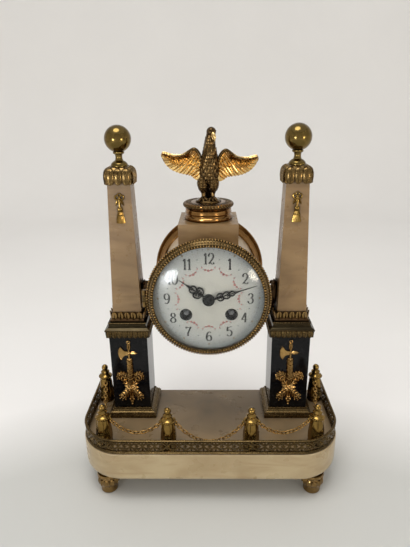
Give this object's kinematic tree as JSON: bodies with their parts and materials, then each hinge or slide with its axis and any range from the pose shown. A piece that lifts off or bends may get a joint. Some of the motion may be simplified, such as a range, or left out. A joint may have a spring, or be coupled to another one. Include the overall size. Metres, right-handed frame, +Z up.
{
  "type": "portico clock",
  "caption": "Portico mantel clock: a drum clock with domed glass hung between two obelisks on pedestals, over a railed stone slab with swagged chains, an eagle on top.",
  "frame": {"origin": "on the table under the middle of the clock's box", "axes": "+Z up, the dial faces -Y, +X to the viewer's right"},
  "size_m": [0.251, 0.128, 0.3446],
  "materials": {
    "alabaster": "polished cream alabaster with faint warm veins",
    "black_marble": "polished black marble",
    "brass": "aged cast and turned brass, worn bright on the edges",
    "gilt_brass": "gilt cast brass with dark recesses",
    "bronze": "dark patinated cast bronze",
    "steel": "bright turned steel",
    "black_steel": "blackened pierced steel",
    "enamel": "domed white enamel",
    "clear_glass": "clear domed glass",
    "movement_brass": "polished movement brass"
  },
  "bodies": {
    "clock": {"base_slab": "alabaster", "feet": "brass", "gallery_rail": "brass", "bollards": "gilt_brass", "plinth_left": "brass", "plinth_right": "brass", "die_left": "black_marble", "die_right": "black_marble", "trophy_left": "gilt_brass", "trophy_right": "gilt_brass", "cap_left": "brass", "cap_right": "brass", "collar_left": "brass", "collar_right": "brass", "obelisk_left": "alabaster", "obelisk_right": "alabaster", "tassels": "gilt_brass", "leafcap_left": "gilt_brass", "leafcap_right": "gilt_brass", "finial_left": "brass", "finial_right": "brass", "bracket_left": "bronze", "bracket_right": "bronze", "tie_rods": "steel", "tie_nuts": "steel", "drum_case": "alabaster", "saddle_block": "alabaster", "eagle_plinth": "brass", "eagle": "gilt_brass", "eagle_stud": "steel", "front_ring": "brass", "dial": "enamel", "rear_ring": "brass", "hinge_pins": "steel", "clamp_straps": "steel", "front_plate": "movement_brass", "back_plate": "movement_brass", "pillars": "movement_brass", "bell": "movement_brass"},
    "bezel": {"bezel": "brass", "bezel_glass": "clear_glass"},
    "rear_door": {"rear_door": "brass"},
    "minute": {"minute_hand": "black_steel", "centre_arbor": "movement_brass"},
    "hour": {"hour_hand": "black_steel", "hour_wheel": "movement_brass"},
    "minute_wheel": {"minute_wheel": "movement_brass"},
    "second_wheel": {"second_wheel": "movement_brass"},
    "going_barrel": {"going_barrel": "movement_brass"},
    "strike_barrel": {"strike_barrel": "movement_brass"},
    "going_arbor": {"going_arbor": "steel"},
    "strike_arbor": {"strike_arbor": "steel"},
    "pendulum": {"pendulum_rod": "steel", "pendulum_bob": "movement_brass"},
    "hammer": {"hammer": "steel"},
    "chain_left_end": {"chain_left_end": "gilt_brass"},
    "chain_front_left": {"chain_front_left": "gilt_brass"},
    "chain_front_middle": {"chain_front_middle": "gilt_brass"},
    "chain_front_right": {"chain_front_right": "gilt_brass"},
    "chain_right_end": {"chain_right_end": "gilt_brass"}
  },
  "joints": [
    {"name": "minute_turn", "type": "hinge", "parent": "clock", "child": "minute", "pos_m": [0, 0, 0.197], "axis": [0, 1, 0], "continuous": true},
    {"name": "hour_turn", "type": "hinge", "parent": "clock", "child": "hour", "pos_m": [0, 0, 0.197], "axis": [0, 1, 0], "continuous": true},
    {"name": "minute_wheel_turn", "type": "hinge", "parent": "clock", "child": "minute_wheel", "pos_m": [0, 0, 0.209], "axis": [0, 1, 0], "continuous": true},
    {"name": "second_wheel_turn", "type": "hinge", "parent": "clock", "child": "second_wheel", "pos_m": [0.016, 0, 0.19737], "axis": [0, 1, 0], "continuous": true},
    {"name": "going_barrel_turn", "type": "hinge", "parent": "clock", "child": "going_barrel", "pos_m": [0.02045, 0, 0.182], "axis": [0, 1, 0], "continuous": true},
    {"name": "strike_barrel_turn", "type": "hinge", "parent": "clock", "child": "strike_barrel", "pos_m": [-0.02045, 0, 0.182], "axis": [0, 1, 0], "continuous": true},
    {"name": "going_winding", "type": "hinge", "parent": "clock", "child": "going_arbor", "pos_m": [0.02045, 0, 0.182], "axis": [0, 1, 0], "range_deg": [0, 1800]},
    {"name": "strike_winding", "type": "hinge", "parent": "clock", "child": "strike_arbor", "pos_m": [-0.02045, 0, 0.182], "axis": [0, 1, 0], "range_deg": [0, 1800]},
    {"name": "bezel_open", "type": "hinge", "parent": "clock", "child": "bezel", "pos_m": [-0.0579, -0.0282, 0.197], "axis": [0, 0, -1], "range_deg": [0, 105]},
    {"name": "rear_door_open", "type": "hinge", "parent": "clock", "child": "rear_door", "pos_m": [0.0524, 0.0614, 0.197], "axis": [0, 0, -1], "range_deg": [0, 100]},
    {"name": "pendulum_swing", "type": "hinge", "parent": "clock", "child": "pendulum", "pos_m": [0, 0.033, 0.225], "axis": [0, 1, 0], "range_deg": [-4, 4]},
    {"name": "hammer_strike", "type": "hinge", "parent": "clock", "child": "hammer", "pos_m": [-0.02, 0, 0.167], "axis": [0, 1, 0], "range_deg": [-12, 3.5], "stiffness_Nm_per_rad": 0.03},
    {"name": "left_end_chain_sway", "type": "hinge", "parent": "clock", "child": "chain_left_end", "pos_m": [-0.11272, 0.01892, 0.0802], "axis": [0.1777, -0.9841, 0], "range_deg": [-12, 12]},
    {"name": "front_left_chain_sway", "type": "hinge", "parent": "clock", "child": "chain_front_left", "pos_m": [-0.09382, -0.04658, 0.0802], "axis": [0.9968, -0.0803, 0], "range_deg": [-12, 12]},
    {"name": "front_middle_chain_sway", "type": "hinge", "parent": "clock", "child": "chain_front_middle", "pos_m": [-0.0317, -0.051, 0.0802], "axis": [1, 0, 0], "range_deg": [-12, 12]},
    {"name": "front_right_chain_sway", "type": "hinge", "parent": "clock", "child": "chain_front_right", "pos_m": [0.04608, -0.05042, 0.0802], "axis": [0.9968, 0.0803, 0], "range_deg": [-12, 12]},
    {"name": "right_end_chain_sway", "type": "hinge", "parent": "clock", "child": "chain_right_end", "pos_m": [0.10228, -0.03891, 0.0802], "axis": [0.1777, 0.9841, 0], "range_deg": [-12, 12]}
  ],
  "couplings": [
    {"joint": "hour_turn", "follows": "minute_turn", "ratio": 0.083333},
    {"joint": "minute_wheel_turn", "follows": "minute_turn", "ratio": -0.33333},
    {"joint": "second_wheel_turn", "follows": "minute_turn", "ratio": -0.23077},
    {"joint": "going_barrel_turn", "follows": "minute_turn", "ratio": 0.042735}
  ]
}
